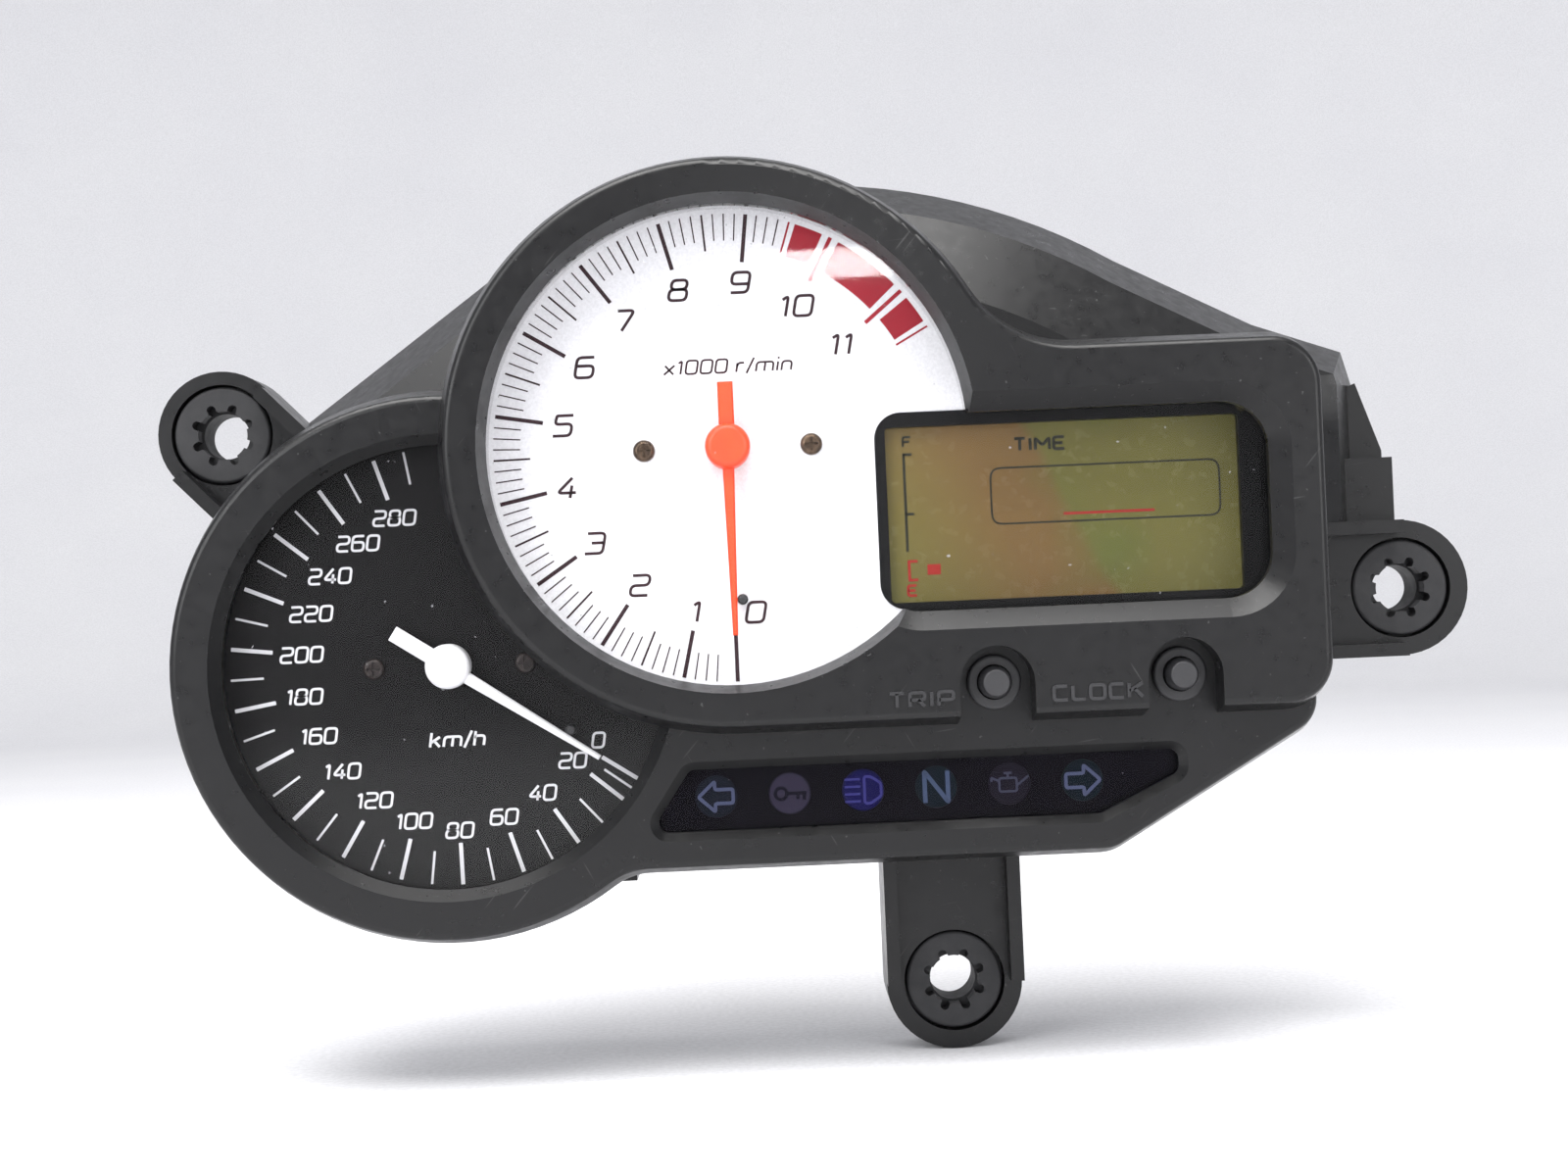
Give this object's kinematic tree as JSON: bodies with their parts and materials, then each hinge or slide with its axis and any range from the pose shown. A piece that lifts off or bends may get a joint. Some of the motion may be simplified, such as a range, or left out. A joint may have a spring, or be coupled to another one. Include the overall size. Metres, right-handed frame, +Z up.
{
  "type": "motorcycle instrument cluster",
  "caption": "Motorcycle dash cluster: white rev counter, black speedometer, reflective display, lamp strip and two push buttons in one case on rubber-mounted ears.",
  "frame": {"origin": "centre of the lower grommet's bore, in the plane through the grommets' webs", "axes": "+X to the rider's right as the dials are read, +Z up, +Y away from the rider; the dials face -Y"},
  "size_m": [0.2976, 0.075, 0.2016],
  "materials": {
    "case_plastic": "fine-textured black moulded ABS",
    "clear_lens": "clear polished acrylic",
    "smoked_lens": "smoked polished acrylic",
    "black_rubber": "matte moulded rubber",
    "button_plastic": "matte moulded rubber over a plastic core",
    "white_plastic": "white moulded plastic",
    "black_component": "black moulded resin",
    "screw_steel": "zinc-plated steel",
    "black_screw": "black oxide steel",
    "board_green": "glass-fibre board with green solder mask",
    "white_dial": "white printed film on a plastic plate",
    "black_dial": "black printed film on a plastic plate",
    "orange_pointer": "fluorescent orange plastic",
    "white_pointer": "white plastic",
    "display_black": "black moulded plastic",
    "display_glass": "olive reflective liquid-crystal glass",
    "contact_brass": "tinned brass and bronze",
    "lamp_filter": "dark tinted film, one colour per lamp",
    "led_resin": "moulded resin",
    "capacitor_can": "aluminium can",
    "connector_plastic": "black glass-filled plastic",
    "copper_winding": "lacquered copper wire",
    "can_steel": "plated steel",
    "magnet_ferrite": "sintered ferrite"
  },
  "bodies": {
    "housing": {"backlight_leds": "led_resin", "board_screws": "screw_steel", "breather_cap": "black_rubber", "button_boots": "black_rubber", "capacitors": "capacitor_can", "case_gasket": "black_rubber", "case_screws": "screw_steel", "chassis": "white_plastic", "circuit_board": "board_green", "connector_housing": "connector_plastic", "connector_pins": "contact_brass", "display_diffuser": "white_plastic", "display_frame": "display_black", "display_glass": "display_glass", "display_pins": "contact_brass", "driver_chips": "black_component", "front_cover": "case_plastic", "grommet_left": "black_rubber", "grommet_lower": "black_rubber", "grommet_right": "black_rubber", "lamp_box": "white_plastic", "lamp_filters": "lamp_filter", "lamp_leds": "led_resin", "lamp_lens": "smoked_lens", "lamp_mask": "display_black", "main_lens": "clear_lens", "processor": "black_component", "push_switches": "black_component", "rear_case": "case_plastic", "speedo_bobbin": "white_plastic", "speedo_cosine_coil": "copper_winding", "speedo_dial": "black_dial", "speedo_dial_screws": "black_screw", "speedo_hairspring": "contact_brass", "speedo_lens": "clear_lens", "speedo_movement_frame": "white_plastic", "speedo_shield_can": "can_steel", "speedo_sine_coil": "copper_winding", "speedo_stop_pin": "black_component", "tacho_bobbin": "white_plastic", "tacho_cosine_coil": "copper_winding", "tacho_dial": "white_dial", "tacho_dial_screws": "black_screw", "tacho_hairspring": "contact_brass", "tacho_movement_frame": "white_plastic", "tacho_shield_can": "can_steel", "tacho_sine_coil": "copper_winding", "tacho_stop_pin": "black_component"},
    "tacho_needle": {"tacho_pointer": "orange_pointer", "tacho_shaft": "can_steel", "tacho_magnet": "magnet_ferrite"},
    "speedo_needle": {"speedo_pointer": "white_pointer", "speedo_shaft": "can_steel", "speedo_magnet": "magnet_ferrite"},
    "trip_plunger": {"trip_button": "button_plastic", "trip_switch_plunger": "white_plastic"},
    "clock_plunger": {"clock_button": "button_plastic", "clock_switch_plunger": "white_plastic"}
  },
  "joints": [
    {"name": "tacho_sweep", "type": "hinge", "parent": "housing", "child": "tacho_needle", "pos_m": [-0.0464, 0, 0.1224], "axis": [0, 1, 0], "range_deg": [0, 245], "stiffness_Nm_per_rad": 0.00015, "springref_deg": -34.38},
    {"name": "speedo_sweep", "type": "hinge", "parent": "housing", "child": "speedo_needle", "pos_m": [-0.1094, 0, 0.0773], "axis": [0, 1, 0], "range_deg": [0, 230], "stiffness_Nm_per_rad": 0.00015, "springref_deg": -34.38},
    {"name": "trip_press", "type": "slide", "parent": "housing", "child": "trip_plunger", "axis": [0, 1, 0], "range_m": [0, 0.0015], "stiffness_N_per_m": 500, "springref_m": -0.001},
    {"name": "clock_press", "type": "slide", "parent": "housing", "child": "clock_plunger", "axis": [0, 1, 0], "range_m": [0, 0.0015], "stiffness_N_per_m": 500, "springref_m": -0.001}
  ]
}
